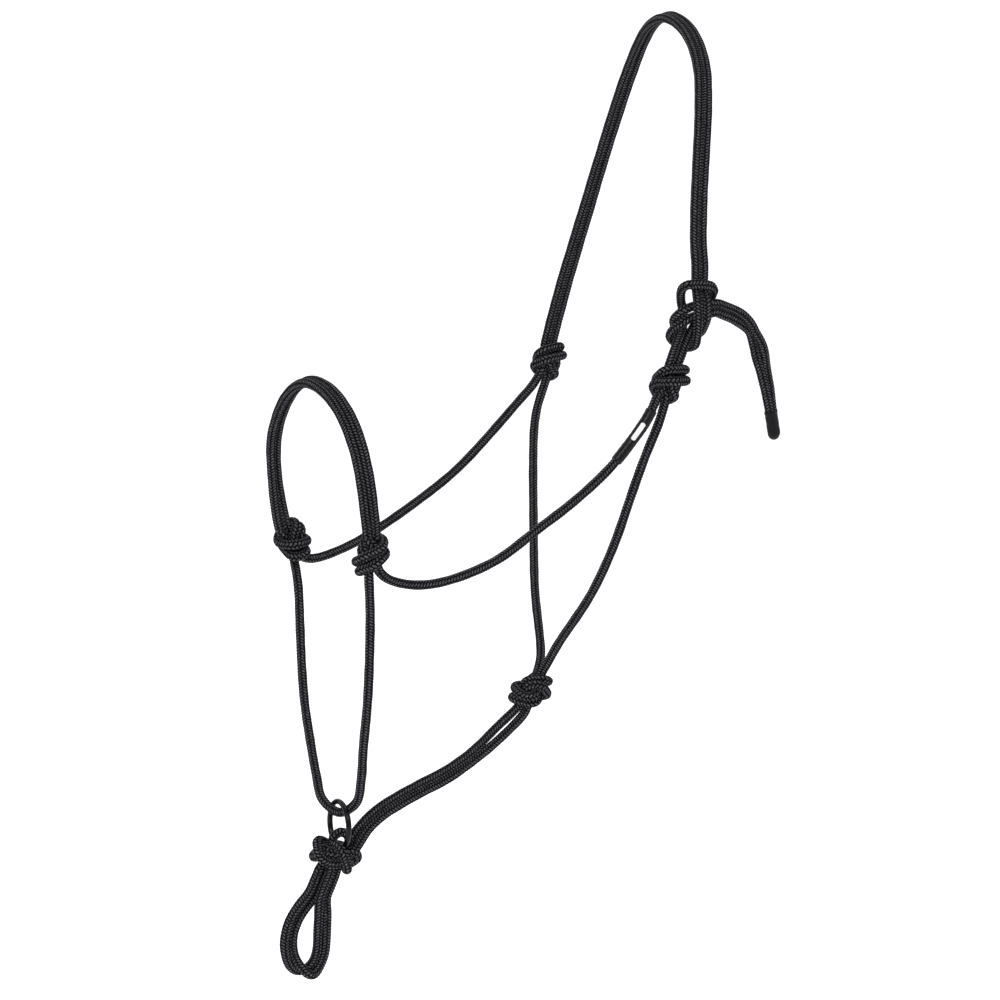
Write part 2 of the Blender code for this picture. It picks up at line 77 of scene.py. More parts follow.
# Routes of the rope between the knots, each a list of centre points. A pair of strands has one route, and for
# each point the direction across the pair.
NOSEBAND = [
    (-0.275, 0.0645, -0.322), (-0.278, 0.059, -0.292), (-0.2775, 0.045, -0.269), (-0.2765, 0.024, -0.254),
    (-0.2755, 0.0, -0.249), (-0.2725, -0.024, -0.255), (-0.27, -0.045, -0.269), (-0.267, -0.058, -0.289),
    (-0.264, -0.0635, -0.312), (-0.2615, -0.065, -0.336),
]
NOSEBAND_ACROSS = [
    (0.88, 0.47, 0.0), (0.88, 0.47, 0.0), (0.89, 0.42, 0.1), (0.92, 0.25, 0.24), (0.95, 0.0, 0.3),
    (0.92, -0.25, 0.24), (0.9, -0.42, 0.1), (0.88, -0.47, 0.0), (0.9, -0.43, 0.0), (0.96, -0.28, 0.0),
]
CHIN = [
    (-0.26, 0.0605, -0.395), (-0.2602, 0.057, -0.425), (-0.2608, 0.053, -0.452), (-0.2615, 0.0465, -0.477),
    (-0.2618, 0.037, -0.5), (-0.2628, 0.024, -0.523), (-0.2635, 0.012, -0.5378), (-0.2562, 0.0, -0.5455),
    (-0.2489, -0.012, -0.5375), (-0.2503, -0.024, -0.519), (-0.2545, -0.037, -0.495),
    (-0.256, -0.047, -0.465), (-0.257, -0.053, -0.435), (-0.2585, -0.058, -0.4),
]
CHEEK_NEAR = [
    (-0.245, -0.062, -0.379), (-0.234, -0.062, -0.3825), (-0.221, -0.065, -0.3832), (-0.204, -0.069, -0.38),
    (-0.188, -0.0725, -0.3745), (-0.17, -0.0755, -0.3665), (-0.1465, -0.08, -0.349), (-0.125, -0.084, -0.334),
    (-0.105, -0.088, -0.3175), (-0.091, -0.09, -0.3045), (-0.078, -0.092, -0.2885), (-0.067, -0.094, -0.274),
]
CHEEK_FAR = [
    (-0.247, 0.062, -0.3775), (-0.234, 0.0625, -0.3742), (-0.213, 0.066, -0.3675), (-0.1945, 0.069, -0.359),
    (-0.164, 0.074, -0.343), (-0.127, 0.08, -0.3205), (-0.089, 0.087, -0.289), (-0.065, 0.0915, -0.2675),
]
THROAT_NEAR = [
    (-0.057, -0.095, -0.273), (-0.0665, -0.093, -0.295), (-0.074, -0.086, -0.323), (-0.08, -0.07, -0.363),
    (-0.0865, -0.05, -0.3985), (-0.0915, -0.0375, -0.416), (-0.097, -0.02, -0.437), (-0.099, -0.008, -0.4525),
]
THROAT_FAR = [
    (-0.0515, 0.094, -0.271), (-0.0565, 0.092, -0.286), (-0.0615, 0.085, -0.317), (-0.069, 0.07, -0.357),
    (-0.075, 0.058, -0.38), (-0.0835, 0.04, -0.408), (-0.0895, 0.022, -0.433), (-0.0945, 0.009, -0.452),
]
# Where the chin strand and the cheek strand leave the underside of each nose knot, from its axis
CHIN_FEET = {"far": (0.0024, 0.0034), "near": (-0.002, 0.0)}
CHEEK_FEET = {"far": (0.0048, -0.003), "near": (0.0048, 0.0)}
# The cheek strand leaves a cheek knot this far before its axis, and the throat strand this far behind it
CHEEK_KNOT_FOOT = 0.0034
FIADOR = [
    (-0.132, 0.0, -0.499), (-0.1533, 0.0, -0.5148), (-0.1741, 0.0, -0.5264), (-0.1948, 0.0, -0.5345),
    (-0.211, 0.0, -0.5412), (-0.227, 0.0, -0.5495), (-0.2385, 0.0, -0.559), (-0.245, 0.0, -0.568),
]
FIADOR_ACROSS = [
    (-0.64, 0.0, 0.77), (-0.6, 0.0, 0.8), (-0.55, 0.05, 0.83), (-0.5, 0.1, 0.85), (-0.5, 0.15, 0.84),
    (-0.55, 0.2, 0.8), (-0.65, 0.35, 0.65), (-0.45, 0.8, 0.4),
]
FIADOR_ENTRY = 0.01  # where the pair enters the fiador knot, from its axis
FIADOR_SPREAD = 1.12  # the pair's strands part there by this much, round the ring's bight
FIADOR_SLIT = (1.15, 1.3)  # and by this much below the throat knot
CROWN = [
    (-0.033, 0.093, -0.1915), (-0.0238, 0.092, -0.162), (-0.0148, 0.09, -0.1325), (-0.0072, 0.086, -0.1035),
    (-0.0018, 0.079, -0.077), (0.0016, 0.071, -0.0555), (0.0042, 0.059, -0.032), (0.0038, 0.042, -0.0125),
    (0.001, 0.022, -0.001), (0.0, 0.0, ROPE_D / 2), (0.0005, -0.022, -0.0035), (-0.001, -0.042, -0.018),
    (-0.0055, -0.059, -0.037), (-0.0115, -0.071, -0.058), (-0.0175, -0.08, -0.0815),
    (-0.0225, -0.086, -0.1065), (-0.026, -0.09, -0.1335), (-0.027, -0.0915, -0.156),
]
CROWN_ACROSS = [
    (0.96, 0.0, -0.25), (0.96, 0.1, -0.27), (0.97, 0.15, -0.2), (0.97, 0.2, -0.1), (0.98, 0.15, 0.0),
    (0.98, 0.1, 0.0), (0.98, 0.05, 0.1), (0.96, 0.05, 0.2), (0.95, 0.0, 0.28), (0.95, 0.0, 0.3),
    (0.95, 0.0, 0.28), (0.98, -0.05, 0.2), (0.98, -0.08, 0.15), (0.98, -0.1, 0.1), (0.99, -0.05, 0.05),
    (1.0, 0.0, 0.0), (1.0, 0.0, 0.0), (1.0, 0.0, 0.0),
]
# The sheet bend: each crown strand comes down behind the eye's bar and out through the eye,
# down over the eye's legs, round behind them, and back across under itself to the tail
TIE_TOP = (-0.027, -0.0934, -0.173)
TURN_FRONT = [
    (-0.0303, -0.0934, -0.1762), (-0.0315, -0.0978, -0.183), (-0.034, -0.1036, -0.1928),
    (-0.0358, -0.1055, -0.2025), (-0.035, -0.106, -0.212), (-0.0315, -0.1025, -0.221),
    (-0.0275, -0.093, -0.228), (-0.0315, -0.0838, -0.23), (-0.0395, -0.0832, -0.2285),
    (-0.0475, -0.086, -0.224), (-0.0515, -0.0915, -0.217), (-0.051, -0.0962, -0.2105),
    (-0.0478, -0.098, -0.207), (-0.042, -0.098, -0.2046), (-0.035, -0.098, -0.204),
]
TURN_REAR = [
    (-0.0237, -0.0934, -0.1762), (-0.0243, -0.0972, -0.183), (-0.027, -0.103, -0.1932),
    (-0.0288, -0.1055, -0.2025), (-0.0272, -0.1045, -0.2105), (-0.0225, -0.0985, -0.216),
    (-0.0215, -0.089, -0.2192), (-0.0275, -0.0835, -0.221), (-0.036, -0.0828, -0.22),
    (-0.044, -0.0845, -0.215), (-0.0495, -0.0895, -0.2075), (-0.0506, -0.0948, -0.2005),
    (-0.047, -0.098, -0.1977), (-0.042, -0.098, -0.1966), (-0.035, -0.098, -0.1966),
]
EYE = [
    (-0.0425, -0.0912, -0.2215), (-0.0385, -0.0908, -0.212), (-0.0385, -0.0906, -0.202),
    (-0.0405, -0.0914, -0.1945), (-0.0428, -0.0975, -0.1865), (-0.0385, -0.104, -0.183),
    (-0.031, -0.106, -0.1821), (-0.024, -0.1054, -0.1828), (-0.019, -0.1005, -0.1862),
    (-0.0164, -0.0926, -0.1914), (-0.0188, -0.0904, -0.199), (-0.0265, -0.0906, -0.208),
    (-0.033, -0.0908, -0.218),
]
TAIL_EXIT = (-0.0205, -0.098, -0.2003)  # where the tail leaves the bend and swings
TAIL = [
    (-0.011, -0.0975, -0.2016), (0.0, -0.0965, -0.2055), (0.009, -0.0955, -0.211), (0.015, -0.095, -0.2175),
    (0.0195, -0.095, -0.227), (0.0235, -0.095, -0.242), (0.027, -0.095, -0.255), (0.0295, -0.095, -0.267),
]
TAIL_CAP_TOP = (0.0306, -0.095, -0.2745)
TAIL_CAP_END = (0.0335, -0.095, -0.2905)
TAIL_ACROSS = [
    (0.1, 0.0, 1.0), (0.25, -0.25, 0.9), (0.3, -0.8, 0.5), (0.1, -0.99, 0.05), (0.6, -0.75, 0.35),
    (0.9, 0.2, 0.35), (0.9, 0.4, 0.25), (0.8, 0.6, 0.2), (0.74, 0.67, 0.13),
]
# The bight through the ring leaves the fiador knot's top this far from its axis
BIGHT_FEET = (-0.0046, 0.0076)
BIGHT = [
    (-0.2604, 0.0, -0.5622), (-0.2556, 0.0, -0.5594), (-0.2508, 0.0, -0.5613), (-0.249, 0.0, -0.566),
]
# The lead loop's two strands: each leaves the knot's underside, turns back at the bottom and crosses the
# other there. The feet are where its two ends meet the knot, across the knot and along Y.
LEAD_FRONT_FEET = ((-0.0062, 0.0), (0.0005, -0.0034))
LEAD_FRONT = [
    (-0.285, 0.0, -0.605), (-0.2942, 0.0, -0.6175), (-0.2978, 0.0, -0.633), (-0.2945, 0.001, -0.6475),
    (-0.2865, 0.0036, -0.6548), (-0.2788, 0.0012, -0.6517), (-0.274, 0.0, -0.6432),
    (-0.2733, -0.0008, -0.629), (-0.273, -0.0025, -0.613),
]
LEAD_REAR_FEET = ((0.0005, 0.0034), (0.0072, 0.0))
LEAD_REAR = [
    (-0.2785, 0.004, -0.6095), (-0.2869, 0.0025, -0.619), (-0.2911, 0.0018, -0.6325),
    (-0.2893, 0.0008, -0.6445), (-0.285, -0.003, -0.652), (-0.2795, -0.0036, -0.6575),
    (-0.2729, 0.0003, -0.6545), (-0.2672, 0.0005, -0.643), (-0.2663, 0.0, -0.627), (-0.2657, 0.0, -0.612),
]

# Braid of the cover: six pairs of yarns each way, two over and two under
YARNS = 6
PITCH = 0.00210  # length of one stitch along the rope
LEAD = YARNS * PITCH  # one turn of a yarn round the rope
SIDES = 48  # vertices round the rope
RING_STEP = 0.00038  # from one ring of vertices to the next
CORE_R = 0.00286  # radius at the bottom of the grooves
RELIEF = 0.00048  # height of a stitch's crown
WANDER = 0.00005  # slow unevenness of the rope's radius
WANDER_WAVES = (410, 173)  # radians per metre

# Fittings
RING_WELD = math.radians(255)  # where the ring's ends meet
RING_BEAD = 0.00016
RING_BEAD_ARC = 0.035  # radians
SLEEVE_ROLL = 0.0007  # length of the sleeve's rounded edge
SLEEVE_INSIDE = ROPE_D / 2 + 0.00005
SLEEVE_FACE = (-0.42, -0.88, 0.22)  # the way that the printed bar faces
BAR_SHIFT = 0.0035  # from the sleeve's middle towards the cheek knot
BAR_STRAIGHT = (0.0056, 0.0003)  # half length and half height, without the rounded edge
BAR_EDGE = (0.00135, 0.00150)  # the ink ends between these distances outside that
CAP_WIDTH = 0.0136
CAP_DEPTH = 0.0084
CAP_OVERLAP = 0.0026  # how far the cap reaches up over the strands
CAP_ROUND = 0.0052  # length of its rounded end
CAP_LIP = 0.00035

# Camera
VIEW_AZIMUTH = math.radians(-27.0)
VIEW_ELEVATION = math.radians(5.5)
VIEW_DISTANCE = 2.0
VIEW_TARGET = Vector((-0.1322, 0.0, -0.3353))
LENS = 102.9
SENSOR = 36.0

# Studio
WORLD_LIGHT = 0.42  # strength of the white world as a light
WORLD_SEEN = 1.08  # and where the camera sees past the sheet
FLOOR_Z = -0.86
COVE_FRONT = -4.0
COVE_BACK = 2.2
COVE_RADIUS = 1.2
COVE_HEIGHT = 4.0
COVE_WIDTH = 9.0
COVE_STEPS = 24
COVE_GLOW = 0.42

# Tying of the knots, in rope diameters
NODE_STEP = 0.36  # between the points of a strand
CONTACT = 1.0  # how near two strands' middles may come
CONTACT_SEARCH = 1.7
LEAST_LOOP = 1.42  # along one strand, between points that can touch
LINK_GIVE = 0.8  # share of a fault that one step puts right
CONTACT_GIVE = 0.45
STIFFNESS = 0.15  # share of the way to its neighbours' middle in one step
OVERHAND_SCALE = 2.6
OVERHAND_HALF = 0.54  # half the distance between a loose pair's strands
TURN_IN = 0.2  # share of the pair that turns to its ports, at each end
FIADOR_WIDE = 0.9  # scales of the loose fiador knot's lobes
FIADOR_TALL = 1.6
FIADOR_RISE = 0.5  # how far up it starts
FIADOR_LIFT = 1.65  # how far up it moves when it is tight
FIADOR_STAGES = 50
FIADOR_SPIN = math.radians(-40)
HELD = 3.0  # length of crown and tail that stays while the tie is drawn up
EYE_LEG = 0.40  # share of the eye that stays too, at each end
EYE_AND_TURN_PULL = (0.0, 0.009, 0.009)  # share that each stage takes off

# Smoothing of the long strands
EASE_STEP = 0.004
LONG_EASE = 8
LOOP_EASE = 2


# ---------- camera, light and floor ----------

def add_object(name, data):
    obj = bpy.data.objects.new(name, data)
    bpy.context.scene.collection.objects.link(obj)
    return obj


def view_back():
    """Unit vector from the object towards the camera."""
    flat = math.cos(VIEW_ELEVATION)
    return Vector((math.sin(VIEW_AZIMUTH) * flat, -math.cos(VIEW_AZIMUTH) * flat, math.sin(VIEW_ELEVATION)))


def add_camera():
    camera = bpy.data.cameras.new("camera")
    camera.lens = LENS
    camera.sensor_width = SENSOR
    obj = add_object("camera", camera)
    obj.location = VIEW_TARGET + view_back() * VIEW_DISTANCE
    obj.rotation_euler = view_back().to_track_quat("Z", "Y").to_euler()
    bpy.context.scene.camera = obj


def add_area_light(name, place, size, power):
    light = bpy.data.lights.new(name, "AREA")
    light.shape = "RECTANGLE"
    light.size, light.size_y = size
    light.energy = power
    obj = add_object(name, light)
    obj.location = place
    obj.rotation_euler = (Vector(place) - VIEW_TARGET).to_track_quat("Z", "Y").to_euler()


def add_studio():
    world = bpy.data.worlds.new("studio")
    world.use_nodes = True
    background = world.node_tree.nodes["Background"]
    background.inputs["Color"].default_value = rgb(1.0, 1.0, 1.0)
    path = world.node_tree.nodes.new("ShaderNodeLightPath")
    strength = world.node_tree.nodes.new("ShaderNodeMath")
    strength.operation = "MULTIPLY_ADD"
    world.node_tree.links.new(path.outputs["Is Camera Ray"], strength.inputs[0])
    strength.inputs[1].default_value = WORLD_SEEN - WORLD_LIGHT
    strength.inputs[2].default_value = WORLD_LIGHT
    world.node_tree.links.new(strength.outputs[0], background.inputs["Strength"])
    bpy.context.scene.world = world
    bpy.context.scene.view_settings.view_transform = "Standard"
    add_area_light("key", (-1.4, -1.7, 0.9), (0.7, 0.7), 24)
    add_area_light("fill", (1.6, -1.5, 0.1), (1.2, 1.6), 6)
    add_area_light("top", (-0.2, 0.2, 1.7), (1.6, 1.6), 16)
    add_area_light("rim", (0.4, 1.6, 0.2), (1.4, 1.4), 5)


def add_cove():
    """One pale sheet: floor, rounded corner and back wall."""
    outline = [(COVE_FRONT, FLOOR_Z)]
    for step in range(COVE_STEPS + 1):
        angle = math.pi / 2 * step / COVE_STEPS
        depth = COVE_BACK - COVE_RADIUS + COVE_RADIUS * math.sin(angle)
        outline.append((depth, FLOOR_Z + COVE_RADIUS * (1 - math.cos(angle))))
    outline.append((COVE_BACK, FLOOR_Z + COVE_HEIGHT))
    verts = [(x, y, z) for y, z in outline for x in (-COVE_WIDTH / 2, COVE_WIDTH / 2)]
    faces = [(2 * i, 2 * i + 1, 2 * i + 3, 2 * i + 2) for i in range(len(outline) - 1)]
    kit = Nodes("pale_paper")
    kit.set("Base Color", rgb(0.93, 0.93, 0.93))
    kit.set("Roughness", 0.9)
    kit.set("Specular IOR Level", 0.1)
    kit.set("Emission Color", rgb(1.0, 1.0, 1.0))
    kit.set("Emission Strength", COVE_GLOW)
    add_mesh("cove", verts, faces, kit.material)


# ---------- materials ----------

def rgb(red, green, blue):
    return (red, green, blue, 1.0)


class Nodes:
    """A material, and short ways to add nodes and join them."""

    def __init__(self, name):
        self.material = bpy.data.materials.new(name)
        self.material.use_nodes = True
        self.tree = self.material.node_tree
        self.shader = self.tree.nodes["Principled BSDF"]

    def feed(self, node, socket, value):
        if isinstance(value, bpy.types.NodeSocket):
            self.tree.links.new(value, node.inputs[socket])
        else:
            node.inputs[socket].default_value = value

    def set(self, socket, value):
        self.feed(self.shader, socket, value)

    def add(self, kind, inputs, **settings):
        node = self.tree.nodes.new("ShaderNode" + kind)
        for name, value in settings.items():
            setattr(node, name, value)
        for socket, value in inputs.items():
            self.feed(node, socket, value)
        return node

    def attribute(self, name, output="Vector"):
        return self.add("Attribute", {}, attribute_name=name).outputs[output]

    def math(self, operation, a, b=0.0):
        return self.add("Math", {0: a, 1: b}, operation=operation).outputs[0]

    def span(self, value, low, high, to_low=0.0, to_high=1.0):
        """Smooth step of value from low to high."""
        inputs = dict(enumerate((value, low, high, to_low, to_high)))
        return self.add("MapRange", inputs, interpolation_type="SMOOTHSTEP").outputs["Result"]

    def mix(self, share, first, second):
        inputs = {"Factor": share, "A": first, "B": second}
        return self.add("Mix", inputs, data_type="RGBA").outputs["Result"]

    def noise(self, scale, detail, vector=None):
        """Noise by place on the object, or by another vector."""
        vector = vector or self.add("TexCoord", {}).outputs["Object"]
        return self.add("TexNoise", {"Vector": vector, "Scale": scale, "Detail": detail}).outputs["Fac"]

    def bump(self, height, distance, strength):
        inputs = {"Height": height, "Distance": distance, "Strength": strength}
        self.set("Normal", self.add("Bump", inputs).outputs["Normal"])


def rope_finish():
    """Braided black polyester, with fine filaments along each yarn: painted shade darkens the grooves, and
    painted grey-blue highlight streaks lighten the crowns.
    """
    kit = Nodes("braided_polyester")
    relief = kit.attribute("relief", "Fac")
    drawn_out = kit.add("VectorMath", {0: kit.attribute("yarn"), 1: (9.0, 1.3, 3.0)}, operation="MULTIPLY")
    filaments = kit.noise(1.0, 3.0, drawn_out.outputs[0])
    handled = kit.noise(55.0, 3.0)
    crown = kit.span(relief, 0.50, 1.0)
    highlight_streak = kit.span(filaments, 0.44, 0.66)
    # The yarn's own black on the crowns, darkened into the grooves by painted shade
    yarn_black_painted_shade = kit.mix(crown, rgb(0.001, 0.001, 0.0014), rgb(0.018, 0.018, 0.022))
    # Painted grey-blue highlight: light streaks along the filaments on the crowns
    painted_highlight = kit.mix(kit.math("MULTIPLY", crown, highlight_streak), yarn_black_painted_shade, rgb(0.205, 0.207, 0.228))
    # Random lighter wear over the yarn, on top of the painted highlight and shade
    worn = kit.mix(kit.span(handled, 0.45, 0.75, 0.0, 0.22), painted_highlight, rgb(0.018, 0.019, 0.023))
    # Painted shade again: the bottom of the grooves goes almost black
    kit.set("Base Color", kit.mix(kit.span(relief, 0.36, 0.78), rgb(0.0008, 0.0008, 0.001), worn))
    kit.set("Roughness", kit.span(filaments, 0.25, 0.75, 0.80, 0.58))
    kit.set("Specular IOR Level", kit.span(relief, 0.55, 1.0, 0.0, 0.10))
    kit.bump(filaments, 0.00016, 0.9)
    return kit.material


def ring_finish():
    """Black plated steel: glossy, with faint polishing marks and small worn spots."""
    kit = Nodes("black_plated_steel")
    marks = kit.noise(900.0, 4.0)
    wear = kit.noise(160.0, 3.0)
    worn = kit.span(wear, 0.60, 0.78, 0.0, 0.6)
    kit.set("Base Color", kit.mix(worn, rgb(0.004, 0.004, 0.0048), rgb(0.02, 0.02, 0.022)))
    kit.set("Roughness", kit.span(marks, 0.3, 0.7, 0.13, 0.26))
    kit.set("Specular IOR Level", 0.13)
    kit.set("Coat Weight", 0.08)
    kit.set("Coat Roughness", 0.06)
    kit.bump(marks, 0.00003, 0.5)
    return kit.material


def sleeve_finish():
    """Heat-shrink sleeve, semi-gloss black, with a plain white printed bar."""
    kit = Nodes("shrink_sleeve")
    split = kit.add("SeparateXYZ", {0: kit.attribute("print_place")})
    along = kit.math("ADD", split.outputs[0], BAR_SHIFT)
    speckle = kit.noise(2600.0, 2.0)
    outside = []
    for value, half in zip((along, split.outputs[1]), BAR_STRAIGHT):
        past = kit.math("SUBTRACT", kit.math("ABSOLUTE", value), half)
        outside.append(kit.math("POWER", kit.math("MAXIMUM", past, 0.0), 2.0))
    inside = kit.span(kit.math("SQRT", kit.math("ADD", *outside)), *BAR_EDGE, 1.0, 0.0)
    ink = kit.math("MULTIPLY", inside, kit.span(speckle, 0.22, 0.34))
    grain = kit.noise(420.0, 3.0)
    black = kit.mix(kit.span(grain, 0.35, 0.7), rgb(0.003, 0.003, 0.0038), rgb(0.0075, 0.0075, 0.0088))
    kit.set("Base Color", kit.mix(ink, black, rgb(0.8, 0.8, 0.79)))
    kit.set("Roughness", kit.span(grain, 0.3, 0.7, 0.30, 0.46))
    kit.set("Specular IOR Level", 0.20)
    kit.bump(grain, 0.00008, 0.6)
    return kit.material


def cap_finish():
    """Matte heat-shrunk cap over the tail ends."""
    kit = Nodes("shrink_cap")
    grain = kit.noise(700.0, 4.0)
    wear = kit.noise(190.0, 3.0)
    base = kit.mix(kit.span(grain, 0.3, 0.7), rgb(0.004, 0.004, 0.005), rgb(0.011, 0.011, 0.013))
    kit.set("Base Color", kit.mix(kit.span(wear, 0.58, 0.75, 0.0, 0.5), base, rgb(0.02, 0.02, 0.023)))
    kit.set("Roughness", kit.span(grain, 0.3, 0.7, 0.50, 0.68))
    kit.set("Specular IOR Level", 0.12)
    kit.bump(grain, 0.00012, 0.7)
    return kit.material


# ---------- lines ----------

def run_of(points):
    """Distance of each point along the line."""
    return np.concatenate([[0.0], np.cumsum(np.linalg.norm(np.diff(points[:, :3], axis=0), axis=1))])


def stretch(points, start, stop):
    """The part of a line between two distances along it; a negative one counts back from its end."""
    run = run_of(points)
    start = run[-1] + start if start < 0 else start
    stop = run[-1] if stop is None else run[-1] + stop if stop < 0 else stop
    places = np.concatenate([[start], run[(run > start + 1e-6) & (run < stop - 1e-6)], [stop]])
    return np.column_stack([np.interp(places, run, column) for column in points.T])


def resampled(points, count):
    run = run_of(points)
    at = np.linspace(0.0, run[-1], count)
    return np.column_stack([np.interp(at, run, column) for column in points.T])


def smooth(route, samples=24):
    """The dense smooth curve through a route; its columns past XYZ follow along."""
    route = np.array(route, float)
    chords = np.linalg.norm(np.diff(route[:, :3], axis=0), axis=1)
    knots = np.concatenate([[0.0], np.cumsum(chords**0.5)])
    slopes = np.gradient(route, knots, axis=0, edge_order=2)
    t = np.linspace(0.0, 1.0, samples, endpoint=False)[:, None]
    fine = []
    for i, span in enumerate(np.diff(knots)):
        fine.append(
            (2 * t**3 - 3 * t**2 + 1) * route[i]
            + (t**3 - 2 * t**2 + t) * span * slopes[i]
            + (3 * t**2 - 2 * t**3) * route[i + 1]
            + (t**3 - t**2) * span * slopes[i + 1]
        )
    return np.vstack([*fine, route[-1:]])


def directions(points):
    along = np.gradient(points, axis=0)
    return along / np.linalg.norm(along, axis=1)[:, None]


def pair_of(route, across, spread=None):
    """The two strands that run side by side along a route, the first on the side of across."""
    spread = np.ones(len(route)) if spread is None else spread
    both = smooth(np.column_stack([route, across, spread]))
    centre = both[:, :3]
    side = both[:, 3:6]
    half = both[:, 6:] * PAIR_PITCH / 2
    along = directions(centre)
    side = side - along * np.sum(side * along, axis=1)[:, None]
    side *= half / np.linalg.norm(side, axis=1)[:, None]
    return centre + side, centre - side


def knot_axes(name):
    """A knot's fore direction, Y and up, as rows."""
    up = Vector(KNOTS[name][1]).normalized()
    return np.array([(up.z, 0.0, -up.x), (0.0, 1.0, 0.0), tuple(up)])


def knot_fore(name):
    return tuple(knot_axes(name)[0])


def knot_end(name, end, offset=(0.0, 0.0), gap=GAP):
    """Two points in line with a knot: just off its flat end, 1 above or -1 below, and further out."""
    centre, _, half = KNOTS[name]
    fore, left, up = knot_axes(name)
    base = np.array(centre) + fore * offset[0] + left * offset[1]
    return [tuple(base + up * (end * (half + gap + out))) for out in (0.0, KNOT_LEAD)]


def carried(first, along):
    """Side directions along a line: first at its start, then turned with the line and not twisted."""
    side = np.empty_like(along)
    side[0] = first
    for i in range(1, len(along)):
        turned = side[i - 1] - along[i] * np.dot(side[i - 1], along[i])
        side[i] = turned / np.linalg.norm(turned)
    return side


def turning_frames(points):
    """Two directions square to the line and to each other at each point."""
    along = directions(points)
    start = np.array((0.0, 1.0, 0.0)) if abs(along[0][1]) < 0.9 else np.array((1.0, 0.0, 0.0))
    first = start - along[0] * np.dot(start, along[0])
    side = carried(first / np.linalg.norm(first), along)
    return side, np.cross(along, side)


# ---------- knots ----------

def settle(nodes, weight, owner, rest, leads=()):
    """Moves the free nodes: each link towards its rest length, and strands out of each other."""
    # pairs that could touch: of different strands, or far enough apart on one
    one, two = np.where(np.triu(np.linalg.norm(nodes[:, None] - nodes[None], axis=2) < CONTACT_SEARCH, 1))
    keep = (owner[one] != owner[two]) | (two - one >= math.ceil(LEAST_LOOP / NODE_STEP))
    one, two = one[keep], two[keep]
    index = np.concatenate([np.arange(n) for n in np.bincount(owner)])
    links = np.where(owner[:-1] == owner[1:])[0]
    halves = [links[index[links] % 2 == odd] for odd in (0, 1)]
    free = np.where(weight > 0)[0]
    for _ in range(10):
        nodes[free] += STIFFNESS * ((nodes[free - 1] + nodes[free + 1]) / 2 - nodes[free])
        for half in halves:
            gap = nodes[half + 1] - nodes[half]
            size = np.maximum(np.linalg.norm(gap, axis=1), 1e-9)
            a, b = weight[half], weight[half + 1]
            share = LINK_GIVE * (size - rest[owner[half]]) / size / np.maximum(a + b, 1e-9)
            nodes[half] += (share * a)[:, None] * gap
            nodes[half + 1] -= (share * b)[:, None] * gap
        for _ in range(2):
            gap = nodes[two] - nodes[one]
            size = np.linalg.norm(gap, axis=1)
            close = size < CONTACT
            i, j = one[close], two[close]
            near = np.maximum(size[close], 1e-6)
            a, b = weight[i], weight[j]
            share = CONTACT_GIVE * (CONTACT - near) / near / np.maximum(a + b, 1e-9)
            np.add.at(nodes, i, -(share * a)[:, None] * gap[close])
            np.add.at(nodes, j, (share * b)[:, None] * gap[close])
        for lead, port in leads:
            nodes[lead, :2] = port


def joined(strands):
    """All nodes in one list, where each strand starts in it, and which strand each node is on."""
    sizes = [len(strand) for strand in strands]
    starts = np.concatenate([[0], np.cumsum(sizes)[:-1]])
    return np.vstack(strands), starts, np.repeat(np.arange(len(sizes)), sizes)


def even(points):
    return resampled(points, max(8, round(run_of(points)[-1] / NODE_STEP) + 1))


def tighten(strands, ports, limit, stages=140, pull=(0.05, 0.01)):
    """Pulls loose strands of rope into a knot, each as thick as 1, until they lie against each other.

    Each strand runs from above to below. Past the limit, at both ends, it is a straight lead over its port.
    pull is the share by which the first stage and the last one shorten it.
    """
    strands = [np.array(strand, float) for strand in strands]
    for stage in range(stages):
        share = stage / (stages - 1)
        shrink = pull[0] * (1 - share) + pull[1] * share
        strands = [even(s) for s in strands]
        nodes, starts, owner = joined(strands)
        weight = np.ones(len(nodes))
        leads = []
        for s, start, (above, below) in zip(strands, starts, ports):
            n = len(s)
            weight[[start, start + n - 1]] = 0.0
            first = last = 0
            while first < n // 3 and s[first, 2] > limit:
                first += 1
            while last < n // 3 and s[n - 1 - last, 2] < -limit:
                last += 1
            leads.append((slice(start, start + first), above))
            leads.append((slice(start + n - last, start + n), below))
        rest = np.array([run_of(s)[-1] * (1 - shrink) / (len(s) - 1) for s in strands])
        settle(nodes, weight, owner, rest, leads)
        strands = [nodes[start : start + len(s)].copy() for start, s in zip(starts, strands)]
    return strands


def draw_up(strands, shrinks, stages=24):
    """Draws strands, in metres, tighter where they lie, and gives back their cores.

    Each is (head, core, foot): the core moves, and the other two stay.
    """
    heads, cores, feet = ([even(np.asarray(part[k]) / ROPE_D) for part in strands] for k in range(3))
    for _ in range(stages):
        cores = [even(core) for core in cores]
        nodes, starts, owner = joined([np.vstack([h[:-1], c, f[1:]]) for h, c, f in zip(heads, cores, feet)])
        weight = np.zeros(len(nodes))
        for start, h, c in zip(starts, heads, cores):
            weight[start + len(h) : start + len(h) + len(c) - 2] = 1.0
        rest = np.array([run_of(c)[-1] * (1 - shrink) / (len(c) - 1) for c, shrink in zip(cores, shrinks)])
        settle(nodes, weight, owner, rest)
        firsts = [start + len(h) - 1 for start, h in zip(starts, heads)]
        cores = [nodes[first : first + len(c)].copy() for first, c in zip(firsts, cores)]
    return [smooth(core * ROPE_D, 8) for core in cores]


def relaxed(points, passes):
    """The line after each of its points has moved, in each pass, towards the middle of its neighbours."""
    points = points.copy()
    for _ in range(passes):
        points[1:-1] += 0.25 * (points[:-2] + points[2:] - 2 * points[1:-1])
    return points


def eased(points, passes):
    """A long strand without the small kinks of its route."""
    return smooth(relaxed(resampled(points, round(run_of(points)[-1] / EASE_STEP)), passes), 12)


